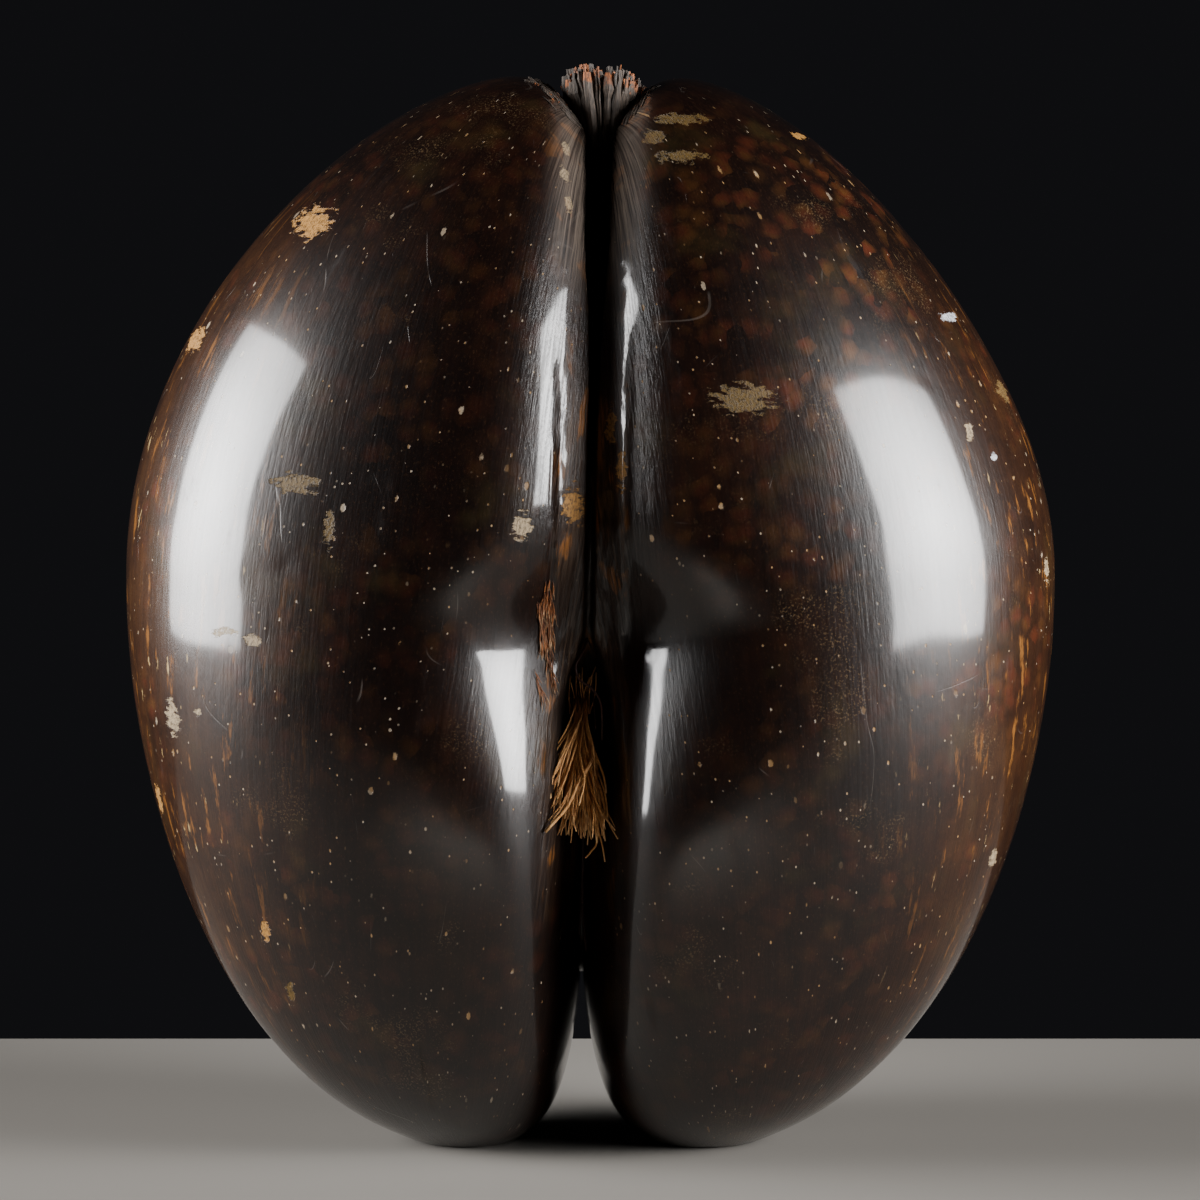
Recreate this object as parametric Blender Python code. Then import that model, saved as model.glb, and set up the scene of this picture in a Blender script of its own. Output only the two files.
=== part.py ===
"""A polished coco de mer nut standing on its two lobes, with its husk stump and fibre tuft.

Metres, +Z up. The seamed front faces -Y, and the nut stands on z = 0, centred on the origin.
"""
import math
import random

import bmesh
import bpy
import numpy as np
from mathutils import Matrix, Vector

# The body is one round form about an axis that runs from side to side. A direction about that
# axis is an angle in degrees: 0 is up, 90 is the front, 180 is down and 270 is the back.
AXIS_HEIGHT = 0.167
HALF_WIDTH = {-1: 0.1373, 1: 0.1335}
REACH_UP = 0.1463
REACH_FRONT = 0.0865
REACH_DOWN = 0.1700
REACH_BACK = 0.0965
UPPER_FULLNESS, LOWER_FULLNESS = 2.1, 2.3

# Each lobe is flat-topped up to here from the seam, and rounds off beyond it.
LOBE_FLAT = ((0, 0.000), (60, 0.010), (120, 0.022), (180, 0.031), (240, 0.024), (300, 0.010))
LOBE_SOFTNESS = 0.015
SHOULDER_SLOPE = {-1: 0.14, 1: 0.26}

# The groove between the lobes: direction, depth, half width, and power of its section, where 2 is
# a soft valley and 1 a sharp one.
VALLEY = (
    (0, 0.0195, 0.0120, 1.5), (12, 0.0190, 0.0125, 1.5), (24, 0.0192, 0.0130, 1.4),
    (40, 0.0200, 0.0138, 1.3), (52, 0.0203, 0.0145, 1.25), (62, 0.0203, 0.0150, 1.25),
    (72, 0.0205, 0.0158, 1.27), (80, 0.0213, 0.0175, 1.32), (87, 0.0234, 0.0215, 1.45),
    (93, 0.0262, 0.0268, 1.62), (99, 0.0290, 0.0305, 1.75), (107, 0.0320, 0.0290, 1.7),
    (115, 0.0345, 0.0240, 1.6), (124, 0.0370, 0.0175, 1.4), (134, 0.0415, 0.0125, 1.25),
    (146, 0.047, 0.0090, 1.1), (156, 0.051, 0.0075, 1.0), (168, 0.053, 0.0063, 0.9),
    (180, 0.052, 0.0058, 0.8), (192, 0.053, 0.0080, 0.9), (205, 0.050, 0.0130, 1.15),
    (220, 0.042, 0.0190, 1.5), (240, 0.031, 0.0250, 1.8), (265, 0.022, 0.0280, 2.0),
    (300, 0.015, 0.0260, 2.0), (335, 0.014, 0.0180, 1.9),
)
# A narrow cut in the floor of the groove: the open slot below the stump, the closed seam, and the
# germ hollow that the tuft grows from. Direction, depth, half width.
SLOT = (
    (0, 0.007, 0.0034), (12, 0.010, 0.0032), (20, 0.018, 0.0028), (28, 0.024, 0.0027),
    (34, 0.021, 0.0016), (41, 0.012, 0.0009), (50, 0.007, 0.0008), (60, 0.004, 0.0009),
    (108, 0.003, 0.0012), (118, 0.008, 0.0060), (128, 0.014, 0.0080), (138, 0.008, 0.0060),
    (150, 0.000, 0.0030), (250, 0.000, 0.0030), (335, 0.000, 0.0030), (348, 0.003, 0.0034),
)
SLOT_POWER = 4.0
# Settings are eased over this many degrees, an odd number.
EASING = 19
# The fibrous margins that stand a little proud beside the closed seam.
MARGIN_LIFT = ((44, 0.0), (54, 0.0012), (104, 0.0012), (113, 0.0), (200, 0.0))
MARGIN_WIDTH = 0.0098
MARGIN_EDGE = 0.0008
SEAM_LEAN = 0.0055
SEAM_LOW_X = -0.0045
SEAM_LEAN_FROM, SEAM_LEAN_TO = 0.060, 0.300

# The lobes' ends are worn to small flats, so that the nut stands.
FOOT_WEAR = 0.0012
FOOT_BLEND = 0.0020

SHELL_AROUND = 72
SHELL_ALONG = 60
SEAM_CROWDING = 1.8

# What stands on the shell is cut back by this much, which leaves 0.3 mm or more all over.
GAP = 0.0007

# The husk's stump: bundles of broken fibre that fan out of the notch at the stalk end, with a
# solid core low between them. Shares are of a fibre's place at the tip, across and in depth.
STUMP_X = 0.0017
STUMP_BASE_Z = 0.279
STUMP_TOP_Z = 0.3134
STUMP_HALF_WIDTH = 0.0115
STUMP_HALF_DEPTH = 0.0205
STUMP_FIBRES = 34
STUMP_FOOT_SHARE = (0.45, 0.80)
STUMP_WAIST_SHARE = (0.60, 0.90)
STUMP_WAIST_RISE = 0.015
STUMP_SPLIT = {"waist": 0.0004, "tip": 0.0014}
STUMP_DOME = 0.006
STUMP_UNEVEN = (-0.0025, 0.0030)
STUMP_RADIUS = (0.0024, 0.0034)
STUMP_CORE_RISE = 0.010
STUMP_CORE_SIZE = (0.0085, 0.0180, 0.0150)

# The tuft: stiff fibres out of one root, high in the germ hollow. It is narrow at the root, flares
# to its tips, leans left and arches outwards as it falls.
TUFT_ROOT = Vector((-0.0045, -0.0480, 0.1290))
TUFT_LENGTH = 0.048
TUFT_SHORTEST = 0.74
TUFT_FIBRES = 30
TUFT_STEPS = 5
TUFT_NARROW = (0.0018, 0.0016)
TUFT_FLARE = (0.0100, 0.0050)
TUFT_LEAN = 0.0028
TUFT_ARCH = 0.0165
TUFT_BOW = 0.0022
TUFT_RISE = 0.003
TUFT_RADIUS, TUFT_TIP_RADIUS = 0.00055, 0.00040
TUFT_KNOB_RISE = 0.0020
TUFT_KNOB_SIZE = (0.0032, 0.0036, 0.0065)

GOLDEN_TURN = math.pi * (3 - math.sqrt(5))


def around(keys, column):
    """One setting for every whole degree about the axis, eased through its keys."""
    degrees = np.arange(-360, 720)
    marks = [key[0] + turn for turn in (-360, 0, 360) for key in keys]
    values = [key[column] for _ in range(3) for key in keys]
    line = np.interp(degrees, marks, values)
    ease = np.hanning(EASING)
    eased = np.convolve(line, ease / ease.sum(), mode="same")
    return eased[360:721]


FLAT_AT = around(LOBE_FLAT, 1)
VALLEY_DEPTH, VALLEY_WIDTH, VALLEY_POWER = (around(VALLEY, column) for column in (1, 2, 3))
SLOT_DEPTH, SLOT_WIDTH = (around(SLOT, column) for column in (1, 2))
MARGIN_AT = around(MARGIN_LIFT, 1)


def at(setting, angle):
    """The value of an eased setting at an angle in degrees."""
    return np.interp(angle % 360, np.arange(361), setting)


def reach(angle):
    """How far the body would come out from its axis on the seam plane, with no groove."""
    upward, forward = math.cos(math.radians(angle)), math.sin(math.radians(angle))
    tall = REACH_UP if upward > 0 else REACH_DOWN
    deep = REACH_FRONT if forward > 0 else REACH_BACK
    fullness = UPPER_FULLNESS if upward > 0 else LOWER_FULLNESS
    return ((abs(upward) / tall) ** fullness + (abs(forward) / deep) ** fullness) ** (-1 / fullness)


def section(side, angle):
    """The shell's line from the seam plane out to the side, as distances along and off the axis."""
    along = HALF_WIDTH[side] * np.sin(math.pi / 2 * np.linspace(0, 1, 400) ** 1.6)
    flat = at(FLAT_AT, angle)

    def rounding(distance):
        return distance - flat + np.sqrt((distance - flat) ** 2 + LOBE_SOFTNESS ** 2)

    share = (rounding(along) - rounding(0)) / (rounding(HALF_WIDTH[side]) - rounding(0))
    upward = max(0.0, math.cos(math.radians(angle)))
    slope = 1 - SHOULDER_SLOPE[side] * upward ** 2 * share ** 2
    off = reach(angle) * np.sqrt(np.clip(1 - share ** 2, 0, 1)) * slope
    valley = np.exp(-(along / at(VALLEY_WIDTH, angle)) ** at(VALLEY_POWER, angle))
    slot = np.exp(-(along / at(SLOT_WIDTH, angle)) ** SLOT_POWER)
    margin = 0.5 - 0.5 * np.tanh((along - MARGIN_WIDTH) / MARGIN_EDGE)
    off = off - at(VALLEY_DEPTH, angle) * valley - at(SLOT_DEPTH, angle) * slot
    off = off + at(MARGIN_AT, angle) * margin
    return along, np.maximum(off, 0)


def seam_x(height):
    """Where the seam runs: it leans a little towards the left as it comes down."""
    share = np.clip((height - SEAM_LEAN_FROM) / (SEAM_LEAN_TO - SEAM_LEAN_FROM), 0, 1)
    return SEAM_LOW_X + SEAM_LEAN * share


def shell_mesh(grow=0.0):
    """The nut's shell, from a sphere with a pole at each side, or the same form grown outwards."""
    bm = bmesh.new()
    turn = Matrix.Rotation(math.pi / 2, 4, "Y")
    bmesh.ops.create_uvsphere(bm, u_segments=SHELL_AROUND, v_segments=SHELL_ALONG, radius=1,
                              matrix=turn)
    lines = {}
    for vert in bm.verts:
        x, y, z = vert.co
        side = -1 if x < 0 else 1
        angle = round(math.degrees(math.atan2(-y, z)) % 360, 3)
        if math.hypot(y, z) < 1e-5:
            angle = 0.0
        if (side, angle) not in lines:
            along, off = section(side, angle)
            run = np.concatenate(([0], np.cumsum(np.hypot(np.diff(along), np.diff(off)))))
            lines[side, angle] = along, off, run / run[-1]
        along, off, run = lines[side, angle]
        from_seam = math.asin(min(1.0, abs(x))) / (math.pi / 2)
        place = from_seam ** SEAM_CROWDING
        distance, radius = np.interp(place, run, along), np.interp(place, run, off)
        height = AXIS_HEIGHT + radius * math.cos(math.radians(angle))
        lean = seam_x(height) * (1 - distance / HALF_WIDTH[side])
        vert.co = (side * distance + lean, -radius * math.sin(math.radians(angle)), height)
    if grow:
        bm.normal_update()
        for vert, normal in [(vert, vert.normal.copy()) for vert in bm.verts]:
            vert.co += normal * grow
    else:
        for vert in bm.verts:
            worn = FOOT_WEAR * math.exp(-max(vert.co.z, 0) / FOOT_BLEND)
            vert.co.z = max(vert.co.z - worn, 0)
    mesh = bpy.data.meshes.new("nut_shell")
    bm.to_mesh(mesh)
    bm.free()
    return mesh


def finish(name, colour, roughness, metallic=0.0):
    """A plain material of its own for one sub-part."""
    material = bpy.data.materials.new(name)
    material.use_nodes = True
    shader = material.node_tree.nodes["Principled BSDF"]
    shader.inputs["Base Color"].default_value = (*colour, 1)
    shader.inputs["Roughness"].default_value = roughness
    shader.inputs["Metallic"].default_value = metallic
    return material


def add_object(name, mesh, collection, material=None):
    """Put a mesh in the scene as a named object."""
    thing = bpy.data.objects.new(name, mesh)
    collection.objects.link(thing)
    if material:
        mesh.materials.clear()
        mesh.materials.append(material)
    return thing


def bake_modifiers(thing):
    """Make an object's modifiers its real mesh."""
    graph = bpy.context.evaluated_depsgraph_get()
    mesh = bpy.data.meshes.new_from_object(thing.evaluated_get(graph))
    thing.modifiers.clear()
    thing.data = mesh


def keep_one_body(thing):
    """Drop loose scraps, and fill the hollows that fusing seals, by keeping the largest surface."""
    bm = bmesh.new()
    bm.from_mesh(thing.data)
    left, surfaces = set(bm.verts), []
    while left:
        reached, front = set(), [left.pop()]
        while front:
            vert = front.pop()
            reached.add(vert)
            for edge in vert.link_edges:
                other = edge.other_vert(vert)
                if other in left:
                    left.discard(other)
                    front.append(other)
        surfaces.append(reached)
    surfaces.sort(key=len, reverse=True)
    for scrap in surfaces[1:]:
        bmesh.ops.delete(bm, geom=list(scrap), context="VERTS")
    bm.to_mesh(thing.data)
    bm.free()


def fuse(thing, pieces):
    """Join every object of a collection to one, as a single body, and drop the collection."""
    union = thing.modifiers.new("fuse", "BOOLEAN")
    union.operation = "UNION"
    union.operand_type = "COLLECTION"
    union.collection = pieces
    union.solver = "EXACT"
    bake_modifiers(thing)
    for piece in list(pieces.objects):
        bpy.data.objects.remove(piece, do_unlink=True)
    bpy.data.collections.remove(pieces)
    keep_one_body(thing)


def clear_of_shell(thing, cutters):
    """Cut a piece back so that it stands just clear of the shell."""
    cutter = add_object("shell_clearance", shell_mesh(GAP), cutters)
    cutter.hide_render = True
    cutter.display_type = "WIRE"
    cut = thing.modifiers.new("clear of shell", "BOOLEAN")
    cut.operation = "DIFFERENCE"
    cut.object = cutter
    cut.solver = "EXACT"
    bake_modifiers(thing)
    bpy.data.objects.remove(cutter, do_unlink=True)
    keep_one_body(thing)


def strand(points, radii, pieces):
    """A fibre: a four-sided tube through a list of points, closed at both ends."""
    curve = bpy.data.curves.new("strand", "CURVE")
    curve.dimensions = "3D"
    curve.bevel_depth = 1.0
    curve.bevel_resolution = 0
    curve.use_fill_caps = True
    spline = curve.splines.new("POLY")
    spline.points.add(len(points) - 1)
    for place, point, radius in zip(spline.points, points, radii):
        place.co = (*point, 1)
        place.radius = radius
    tube = add_object("strand", curve, pieces)
    graph = bpy.context.evaluated_depsgraph_get()
    mesh = bpy.data.meshes.new_from_object(tube.evaluated_get(graph))
    bpy.data.objects.remove(tube, do_unlink=True)
    bm = bmesh.new()
    bm.from_mesh(mesh)
    bmesh.ops.remove_doubles(bm, verts=bm.verts, dist=1e-6)
    bmesh.ops.recalc_face_normals(bm, faces=bm.faces[:])
    bm.to_mesh(mesh)
    bm.free()
    return add_object("strand", mesh, pieces)


def knob(name, centre, size, segments):
    """A rounded lump, for strands to root in."""
    bm = bmesh.new()
    bmesh.ops.create_uvsphere(bm, u_segments=segments, v_segments=segments // 2, radius=1)
    bmesh.ops.scale(bm, vec=size, verts=bm.verts)
    bmesh.ops.translate(bm, vec=centre, verts=bm.verts)
    mesh = bpy.data.meshes.new(name)
    bm.to_mesh(mesh)
    bm.free()
    return mesh


def nut_shell(nut):
    """The two-lobed shell, black-brown and polished."""
    mesh = shell_mesh()
    mesh.shade_smooth()
    return add_object("nut_shell", mesh, nut, finish("shell", (0.022, 0.010, 0.007), 0.18))


def husk_stump(nut, cutters):
    """The stump of the husk at the stalk end: broken bundles of fibre, split along the seam."""
    draw = random.Random(7)
    pieces = bpy.data.collections.new("stump_fibres")
    bpy.context.scene.collection.children.link(pieces)
    middle = Vector((STUMP_X, 0, STUMP_BASE_Z))
    for index in range(STUMP_FIBRES):
        turn = index * GOLDEN_TURN
        spread = math.sqrt((index + 0.5) / STUMP_FIBRES)
        side = 1 if math.cos(turn) > 0 else -1
        x = spread * STUMP_HALF_WIDTH * math.cos(turn)
        y = spread * STUMP_HALF_DEPTH * math.sin(turn)
        foot = middle + Vector((STUMP_FOOT_SHARE[0] * x, STUMP_FOOT_SHARE[1] * y, 0))
        waist = middle + Vector((STUMP_WAIST_SHARE[0] * x + side * STUMP_SPLIT["waist"],
                                 STUMP_WAIST_SHARE[1] * y, STUMP_WAIST_RISE))
        top = STUMP_TOP_Z - STUMP_DOME * spread ** 2 + draw.uniform(*STUMP_UNEVEN)
        tip = Vector((middle.x + x + side * STUMP_SPLIT["tip"], y, top))
        thick = draw.uniform(*STUMP_RADIUS)
        strand([foot, waist, tip], [thick, thick, thick * 0.8], pieces)
    core = knob("core", middle + Vector((0, 0, STUMP_CORE_RISE)), STUMP_CORE_SIZE, 16)
    stump = add_object("husk_stump", core, nut)
    fuse(stump, pieces)
    clear_of_shell(stump, cutters)
    stump.data.materials.clear()
    stump.data.materials.append(finish("stump", (0.16, 0.11, 0.075), 0.85))
    return stump


def fibre_tuft(nut, cutters):
    """The brush of stiff fibres that hangs out of the germ hollow."""
    draw = random.Random(11)
    pieces = bpy.data.collections.new("tuft_fibres")
    bpy.context.scene.collection.children.link(pieces)
    for index in range(TUFT_FIBRES):
        turn = index * GOLDEN_TURN
        spread = math.sqrt((index + 0.5) / TUFT_FIBRES)
        sideways, outward = spread * math.cos(turn), spread * math.sin(turn)
        bow = draw.uniform(-TUFT_BOW, TUFT_BOW)
        length = TUFT_LENGTH * draw.uniform(TUFT_SHORTEST, 1)
        points = []
        for step in range(TUFT_STEPS + 1):
            share = step / TUFT_STEPS
            flare = TUFT_NARROW[0] + TUFT_FLARE[0] * share ** 1.5
            flare_out = TUFT_NARROW[1] + TUFT_FLARE[1] * share ** 1.3
            x = sideways * flare - TUFT_LEAN * share + bow * math.sin(math.pi * share)
            y = outward * flare_out - TUFT_ARCH * math.sin(1.4 * share)
            points.append(TUFT_ROOT + Vector((x, y, TUFT_RISE - length * share)))
        strand(points, [TUFT_RADIUS] * TUFT_STEPS + [TUFT_TIP_RADIUS], pieces)
    root = knob("root", TUFT_ROOT + Vector((0, 0, TUFT_KNOB_RISE)), TUFT_KNOB_SIZE, 10)
    tuft = add_object("fibre_tuft", root, nut)
    fuse(tuft, pieces)
    clear_of_shell(tuft, cutters)
    tuft.data.materials.clear()
    tuft.data.materials.append(finish("tuft", (0.42, 0.22, 0.08), 0.6))
    return tuft


def centre(nut):
    """Slide every piece sideways so that the shell's outline is centred on the origin."""
    points = np.array([vert.co for vert in nut.objects["nut_shell"].data.vertices])
    middle = (points.min(axis=0) + points.max(axis=0)) / 2
    for thing in nut.objects:
        thing.data.transform(Matrix.Translation((-middle[0], -middle[1], 0)))


def build():
    """Clear the scene and make the nut."""
    for old in list(bpy.data.objects):
        bpy.data.objects.remove(old, do_unlink=True)
    nut = bpy.data.collections.new("coco_de_mer_nut")
    cutters = bpy.data.collections.new("cutters")
    for collection in (nut, cutters):
        bpy.context.scene.collection.children.link(collection)
    nut_shell(nut)
    husk_stump(nut, cutters)
    fibre_tuft(nut, cutters)
    centre(nut)


build()
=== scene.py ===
"""Looks of a polished coco de mer nut: its lacquered shell, husk stump and fibre tuft."""
import math
import random

import bmesh
import bpy
import numpy as np
from mathutils import Matrix, Vector, noise
from mathutils.bvhtree import BVHTree


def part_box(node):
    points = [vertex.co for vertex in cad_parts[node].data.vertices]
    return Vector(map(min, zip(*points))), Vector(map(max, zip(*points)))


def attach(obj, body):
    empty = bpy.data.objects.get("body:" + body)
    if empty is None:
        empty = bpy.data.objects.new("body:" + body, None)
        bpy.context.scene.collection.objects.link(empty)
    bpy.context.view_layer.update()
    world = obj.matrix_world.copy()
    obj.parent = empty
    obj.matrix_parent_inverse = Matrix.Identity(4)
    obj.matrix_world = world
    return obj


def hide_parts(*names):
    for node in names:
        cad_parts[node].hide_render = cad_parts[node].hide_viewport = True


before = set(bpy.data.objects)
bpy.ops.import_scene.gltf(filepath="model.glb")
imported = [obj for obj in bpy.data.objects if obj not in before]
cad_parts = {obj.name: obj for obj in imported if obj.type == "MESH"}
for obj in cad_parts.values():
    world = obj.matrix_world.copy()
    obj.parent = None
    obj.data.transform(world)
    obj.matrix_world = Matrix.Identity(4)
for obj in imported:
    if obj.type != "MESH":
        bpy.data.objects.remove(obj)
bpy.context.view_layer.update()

# The shell is the nut's hard, two-lobed wall, grown as one piece and polished until it shines.
# It starts as a sphere with a pole at each side, drawn out to the nut's form by a formula, and
# its seam, slot and germ hollow are cut by the same formula.
AXIS_HEIGHT = 0.167
HALF_WIDTH = {-1: 0.1373, 1: 0.1335}
REACH_UP, REACH_FRONT, REACH_DOWN, REACH_BACK = 0.1463, 0.0865, 0.1700, 0.0965
UPPER_FULLNESS, LOWER_FULLNESS = 2.1, 2.3
LOBE_FLAT = ((0, 0.000), (60, 0.010), (120, 0.022), (180, 0.031), (240, 0.024), (300, 0.010))
LOBE_SOFTNESS = 0.015
SHOULDER_SLOPE = {-1: 0.14, 1: 0.26}
# Direction about the nut's side-to-side axis, depth, half width and power of the groove.
VALLEY = (
    (0, 0.0195, 0.0120, 1.5), (12, 0.0190, 0.0125, 1.5), (24, 0.0192, 0.0130, 1.4),
    (40, 0.0200, 0.0138, 1.3), (52, 0.0203, 0.0145, 1.25), (62, 0.0203, 0.0150, 1.25),
    (72, 0.0205, 0.0158, 1.27), (80, 0.0213, 0.0175, 1.32), (87, 0.0234, 0.0215, 1.45),
    (93, 0.0262, 0.0268, 1.62), (99, 0.0290, 0.0305, 1.75), (107, 0.0320, 0.0290, 1.7),
    (115, 0.0345, 0.0240, 1.6), (124, 0.0370, 0.0175, 1.4), (134, 0.0415, 0.0125, 1.25),
    (146, 0.047, 0.0090, 1.1), (156, 0.051, 0.0075, 1.0), (168, 0.053, 0.0063, 0.9),
    (180, 0.052, 0.0058, 0.8), (192, 0.053, 0.0080, 0.9), (205, 0.050, 0.0130, 1.15),
    (220, 0.042, 0.0190, 1.5), (240, 0.031, 0.0250, 1.8), (265, 0.022, 0.0280, 2.0),
    (300, 0.015, 0.0260, 2.0), (335, 0.014, 0.0180, 1.9),
)
# Direction, depth and half width of the slot, the closed seam and the germ hollow.
SLOT = (
    (0, 0.007, 0.0034), (12, 0.010, 0.0032), (20, 0.018, 0.0028), (28, 0.024, 0.0027),
    (34, 0.021, 0.0016), (41, 0.012, 0.0009), (50, 0.007, 0.0008), (60, 0.004, 0.0009),
    (108, 0.003, 0.0012), (118, 0.008, 0.0060), (128, 0.014, 0.0080), (138, 0.008, 0.0060),
    (150, 0.000, 0.0030), (250, 0.000, 0.0030), (335, 0.000, 0.0030), (348, 0.003, 0.0034),
)
SLOT_POWER = 4.0
EASING = 19
MARGIN_RISE = 0.0012
MARGIN_LIFT = ((44, 0.0), (54, MARGIN_RISE), (104, MARGIN_RISE), (113, 0.0), (200, 0.0))
MARGIN_WIDTH = 0.0098
MARGIN_EDGE = 0.0005
SEAM_LEAN, SEAM_LOW_X = 0.0055, -0.0045
SEAM_LEAN_FROM, SEAM_LEAN_TO = 0.060, 0.300
FOOT_WEAR, FOOT_BLEND = 0.0012, 0.0020
SHELL_AROUND, SHELL_ALONG, SEAM_CROWDING = 400, 236, 1.6
# A cut this deep counts as fully open. The finished surface is set this far inside the form.
OPEN_CUT = 0.006
SURFACE_INSET = 0.0003
DENTS, DENT_WIDTH, DENT_DEPTH = 70, (0.0020, 0.0045), (0.00006, 0.00022)


def around(keys, column):
    """One setting for every whole degree about the axis, eased through its keys."""
    degrees = np.arange(-360, 720)
    marks = [key[0] + turn for turn in (-360, 0, 360) for key in keys]
    line = np.interp(degrees, marks, [key[column] for _ in range(3) for key in keys])
    ease = np.hanning(EASING)
    return np.convolve(line, ease / ease.sum(), mode="same")[360:721]


FLAT_AT, MARGIN_AT = around(LOBE_FLAT, 1), around(MARGIN_LIFT, 1)
VALLEY_DEPTH, VALLEY_WIDTH, VALLEY_POWER = (around(VALLEY, column) for column in (1, 2, 3))
SLOT_DEPTH, SLOT_WIDTH = (around(SLOT, column) for column in (1, 2))


def at(setting, angle):
    """The value of an eased setting at an angle in degrees."""
    return np.interp(angle % 360, np.arange(361), setting)


def section(side, angle):
    """The shell's line from the seam plane out to the side, as distances along and off the axis."""
    upward, forward = math.cos(math.radians(angle)), math.sin(math.radians(angle))
    tall = REACH_UP if upward > 0 else REACH_DOWN
    deep = REACH_FRONT if forward > 0 else REACH_BACK
    fullness = UPPER_FULLNESS if upward > 0 else LOWER_FULLNESS
    reach = (abs(upward) / tall) ** fullness + (abs(forward) / deep) ** fullness
    reach = reach ** (-1 / fullness)
    along = HALF_WIDTH[side] * np.sin(math.pi / 2 * np.linspace(0, 1, 500) ** 1.6)
    flat = at(FLAT_AT, angle)

    def rounding(distance):
        return distance - flat + np.sqrt((distance - flat) ** 2 + LOBE_SOFTNESS ** 2)

    share = (rounding(along) - rounding(0)) / (rounding(HALF_WIDTH[side]) - rounding(0))
    slope = 1 - SHOULDER_SLOPE[side] * max(0.0, upward) ** 2 * share ** 2
    off = reach * np.sqrt(np.clip(1 - share ** 2, 0, 1)) * slope
    off -= at(VALLEY_DEPTH, angle) * np.exp(
        -(along / at(VALLEY_WIDTH, angle)) ** at(VALLEY_POWER, angle))
    off -= at(SLOT_DEPTH, angle) * np.exp(-(along / at(SLOT_WIDTH, angle)) ** SLOT_POWER)
    # The margins' outer edges wander, as torn fibre does.
    ragged = 0.0011 * noise.noise(Vector((side * 9.0, angle * 0.11, 0)))
    ragged += 0.0005 * noise.noise(Vector((side * 9.0, angle * 0.6, 5)))
    margin = 0.5 - 0.5 * np.tanh((along - MARGIN_WIDTH - ragged) / MARGIN_EDGE)
    off += at(MARGIN_AT, angle) * margin
    return along, np.maximum(off, 0)


def seam_x(height):
    """Where the seam runs: it leans a little towards the left as it comes down."""
    share = np.clip((height - SEAM_LEAN_FROM) / (SEAM_LEAN_TO - SEAM_LEAN_FROM), 0, 1)
    return SEAM_LOW_X + SEAM_LEAN * share


def shell_places(side, angle, places):
    """Points of the shell at one direction, at shares of the way from the seam to the side."""
    along, off = section(side, angle)
    run = np.concatenate(([0], np.cumsum(np.hypot(np.diff(along), np.diff(off)))))
    run /= run[-1]
    distance, radius = np.interp(places, run, along), np.interp(places, run, off)
    height = AXIS_HEIGHT + radius * math.cos(math.radians(angle))
    x = side * distance + seam_x(height) * (1 - distance / HALF_WIDTH[side])
    return np.stack([x, -radius * math.sin(math.radians(angle)), height], axis=1), distance


def fade(value, start, end):
    """0 before start, 1 after end, and smooth between; start may be the larger."""
    share = np.clip((value - start) / (end - start), 0, 1)
    return share * share * (3 - 2 * share)


def noise_at(points, scale, offset=0.0):
    """Smooth noise between -1 and 1 at each point."""
    shift = Vector((offset, offset, offset))
    return np.array([noise.noise(Vector(point) * scale + shift) for point in points])


shell_mesh = bmesh.new()
bmesh.ops.create_uvsphere(shell_mesh, u_segments=SHELL_AROUND, v_segments=SHELL_ALONG, radius=1,
                          matrix=Matrix.Rotation(math.pi / 2, 4, "Y"))
ball = np.array([vert.co for vert in shell_mesh.verts])
sides = np.where(ball[:, 0] < 0, -1, 1)
angles = np.degrees(np.arctan2(-ball[:, 1], ball[:, 2])) % 360
angles[np.hypot(ball[:, 1], ball[:, 2]) < 1e-5] = 0
steps = np.round(angles * SHELL_AROUND / 360).astype(int) % SHELL_AROUND
shares = (np.arcsin(np.clip(np.abs(ball[:, 0]), 0, 1)) / (math.pi / 2)) ** SEAM_CROWDING
form, from_seam = np.zeros_like(ball), np.zeros(len(ball))
for side in (-1, 1):
    for step in range(SHELL_AROUND):
        picked = np.flatnonzero((sides == side) & (steps == step))
        form[picked], from_seam[picked] = shell_places(
            side, step * 360 / SHELL_AROUND, shares[picked])
for vert, place in zip(shell_mesh.verts, form):
    vert.co = place
shell_mesh.normal_update()
normals = np.array([vert.normal for vert in shell_mesh.verts])
turns = steps * 360 / SHELL_AROUND
across = sides * from_seam

# How much of each kind of surface a point has: the fibrous margins beside the seam, the walls of the
# slot and hollow, which are also painted dark as painted shade, the torn rim of the hollow, the
# weathered lips round the stump, and the wall beside the seam, whose gloss is broken into streaks.
in_margin = at(MARGIN_AT, turns) / MARGIN_RISE
in_margin = in_margin * fade(from_seam, MARGIN_WIDTH + 0.0012, MARGIN_WIDTH - 0.001)
in_cut = np.clip(at(SLOT_DEPTH, turns) / OPEN_CUT, 0, 1)
in_cut = in_cut * fade(from_seam, 1.5 * at(SLOT_WIDTH, turns), 0.8 * at(SLOT_WIDTH, turns))
torn = fade(turns, 98, 106) * fade(turns, 150, 136) * fade(
    from_seam, np.where(sides < 0, 0.0150, 0.0115), np.where(sides < 0, 0.0090, 0.0060))
lip = fade(turns, 46, 24) * fade(from_seam, 0.017, 0.006)
lip = np.maximum(lip, fade(turns, 338, 356) * fade(from_seam, 0.015, 0.008))
fibrous = np.clip(np.maximum.reduce([0.75 * in_margin, in_cut, torn, 0.8 * lip]), 0, 1)
streaked = fade(turns, 22, 52) * fade(turns, 136, 112) * fade(from_seam, 0.024, 0.005)

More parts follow.
